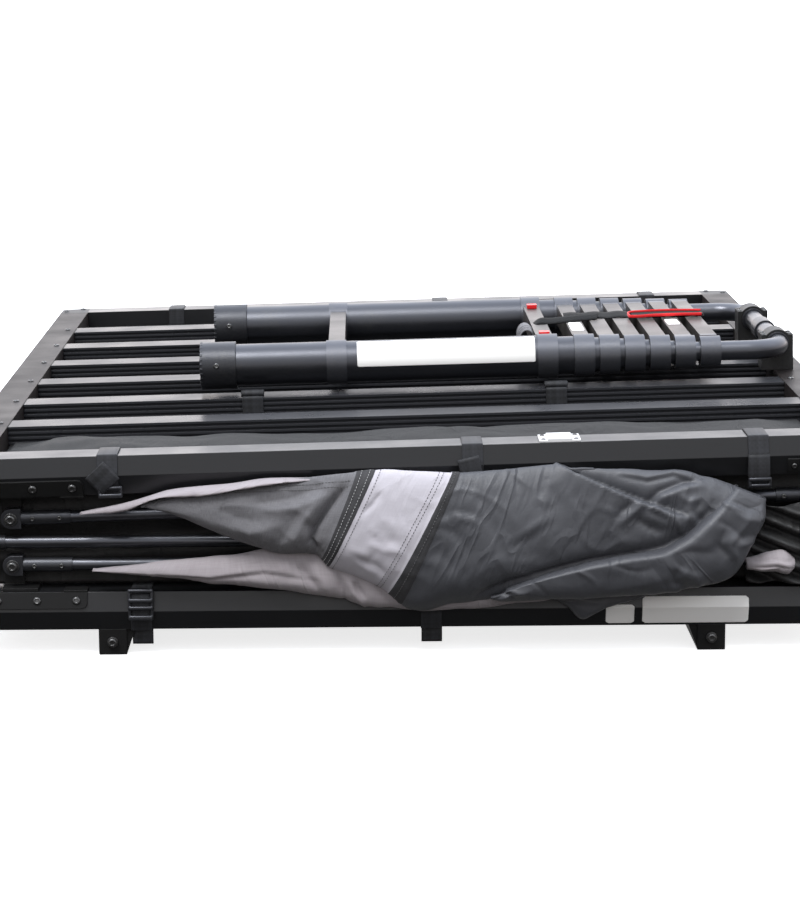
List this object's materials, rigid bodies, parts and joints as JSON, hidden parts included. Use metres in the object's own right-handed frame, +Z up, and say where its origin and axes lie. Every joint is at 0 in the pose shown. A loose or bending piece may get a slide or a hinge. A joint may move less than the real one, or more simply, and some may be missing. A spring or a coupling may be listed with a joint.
{
  "type": "roof top tent",
  "caption": "Fold-out roof top tent, packed: two hinged slatted frame halves with tent bows and folded canopy between them and a telescopic ladder stowed on top.",
  "frame": {"origin": "centre of the footprint, on the underside of the mounting tracks", "axes": "+X along the fold from the hinge end to the ladder end, +Y along the hinge line away from the pictured side, +Z up"},
  "size_m": [1.216, 1.484, 0.3486],
  "materials": {
    "frame_alloy": "powder-coated black extrusion, lightly textured",
    "corner_casting": "moulded black corner",
    "slat_alloy": "powder-coated black extrusion with grooved sides",
    "floor_board": "dark composite board",
    "fastener": "blackened steel",
    "track_alloy": "black anodised channel",
    "bracket_steel": "black painted steel",
    "mattress_cover": "grey knitted cover over foam",
    "canopy_cloth": "coated woven tent cloth in charcoal and light grey",
    "webbing": "black woven webbing",
    "black_plastic": "moulded black plastic",
    "bow_tube": "black coated tube",
    "white_plate": "white painted plate",
    "bearing_block": "moulded black block",
    "ladder_tube": "black coated tube, satin",
    "ladder_collar": "moulded black collar and coated rung",
    "foot_rubber": "black rubber",
    "red_plastic": "red moulded plastic"
  },
  "bodies": {
    "base_half": {"base_long_rails": "frame_alloy", "base_side_rails": "frame_alloy", "base_corners": "corner_casting", "base_slats": "slat_alloy", "base_floor": "floor_board", "base_screws": "fastener", "mounting_tracks": "track_alloy", "track_brackets": "bracket_steel", "track_bolts": "fastener", "base_hinge_plates": "bracket_steel", "base_pivot_pins": "fastener", "base_bow_brackets": "bracket_steel", "lower_mattress": "mattress_cover", "canopy_layers": "canopy_cloth", "canopy_front": "canopy_cloth", "canopy_back": "canopy_cloth", "base_straps": "webbing", "base_buckles": "black_plastic"},
    "lower_hoop": {"lower_bow": "bow_tube", "lower_bow_fittings": "black_plastic"},
    "middle_hoop": {"middle_bow": "bow_tube", "middle_bow_fittings": "black_plastic"},
    "lid_half": {"lid_long_rails": "frame_alloy", "lid_side_rails": "frame_alloy", "lid_corners": "corner_casting", "lid_slats": "slat_alloy", "lid_floor": "floor_board", "lid_screws": "fastener", "lid_hinge_plates": "bracket_steel", "lid_pivot_pins": "fastener", "lid_bow_brackets": "bracket_steel", "upper_mattress": "mattress_cover", "lid_straps": "webbing", "lid_buckles": "black_plastic", "keeper_plate": "white_plate", "lid_skirt": "canopy_cloth", "bearing_blocks": "bearing_block", "bearing_bushes": "black_plastic", "ladder_tie_straps": "webbing"},
    "upper_hoop": {"upper_bow": "bow_tube", "upper_bow_fittings": "black_plastic"},
    "ladder_head": {"ladder_bail": "ladder_tube", "bail_sleeve": "black_plastic", "ladder_strap": "webbing", "ladder_step_7": "ladder_collar"},
    "ladder_section_6": {"ladder_stiles_6": "ladder_tube", "ladder_step_6": "ladder_collar"},
    "ladder_section_5": {"ladder_stiles_5": "ladder_tube", "ladder_step_5": "ladder_collar"},
    "ladder_section_4": {"ladder_stiles_4": "ladder_tube", "ladder_step_4": "ladder_collar"},
    "ladder_section_3": {"ladder_stiles_3": "ladder_tube", "ladder_step_3": "ladder_collar"},
    "ladder_section_2": {"ladder_stiles_2": "ladder_tube", "ladder_step_2": "ladder_collar"},
    "ladder_section_1": {"ladder_stiles_1": "ladder_tube", "ladder_step_1": "ladder_collar", "ladder_feet": "foot_rubber"},
    "front_button": {"release_button_front": "red_plastic"},
    "back_button": {"release_button_back": "red_plastic"}
  },
  "joints": [
    {"name": "lid_flip", "type": "hinge", "parent": "base_half", "child": "lid_half", "pos_m": [-0.595, 0, 0.146], "axis": [0, -1, 0], "range_deg": [0, 178.67], "deforming": ["canopy_layers", "canopy_front", "canopy_back"]},
    {"name": "lower_bow_swing", "type": "hinge", "parent": "base_half", "child": "lower_hoop", "pos_m": [-0.509, 0, 0.116], "axis": [0, -1, 0], "range_deg": [0, 45]},
    {"name": "middle_bow_swing", "type": "hinge", "parent": "base_half", "child": "middle_hoop", "pos_m": [-0.595, 0, 0.146], "axis": [0, -1, 0], "range_deg": [0, 90]},
    {"name": "upper_bow_swing", "type": "hinge", "parent": "lid_half", "child": "upper_hoop", "pos_m": [-0.50972, 0, 0.17799], "axis": [0, -1, 0], "range_deg": [-45, 0]},
    {"name": "ladder_swing", "type": "hinge", "parent": "lid_half", "child": "ladder_head", "pos_m": [0.55517, -0.042, 0.32424], "axis": [0, 1, 0], "range_deg": [0, 110]},
    {"name": "ladder_slide_6", "type": "slide", "parent": "ladder_head", "child": "ladder_section_6", "axis": [-0.9997, 0, -0.0232], "range_m": [0, 0.2675]},
    {"name": "ladder_slide_5", "type": "slide", "parent": "ladder_section_6", "child": "ladder_section_5", "axis": [-0.9997, 0, -0.0232], "range_m": [0, 0.2675]},
    {"name": "ladder_slide_4", "type": "slide", "parent": "ladder_section_5", "child": "ladder_section_4", "axis": [-0.9997, 0, -0.0232], "range_m": [0, 0.2675]},
    {"name": "ladder_slide_3", "type": "slide", "parent": "ladder_section_4", "child": "ladder_section_3", "axis": [-0.9997, 0, -0.0232], "range_m": [0, 0.2675]},
    {"name": "ladder_slide_2", "type": "slide", "parent": "ladder_section_3", "child": "ladder_section_2", "axis": [-0.9997, 0, -0.0232], "range_m": [0, 0.2675]},
    {"name": "ladder_slide_1", "type": "slide", "parent": "ladder_section_2", "child": "ladder_section_1", "axis": [-0.9997, 0, -0.0232], "range_m": [0, 0.251]},
    {"name": "front_button_press", "type": "slide", "parent": "ladder_section_1", "child": "front_button", "axis": [0, 1, 0], "range_m": [0, 0.006], "stiffness_N_per_m": 400},
    {"name": "back_button_press", "type": "slide", "parent": "ladder_section_1", "child": "back_button", "axis": [0, -1, 0], "range_m": [0, 0.006], "stiffness_N_per_m": 400}
  ],
  "couplings": [
    {"joint": "lower_bow_swing", "follows": "lid_flip", "ratio": 0.25},
    {"joint": "middle_bow_swing", "follows": "lid_flip", "ratio": 0.5},
    {"joint": "upper_bow_swing", "follows": "lid_flip", "ratio": -0.25}
  ]
}
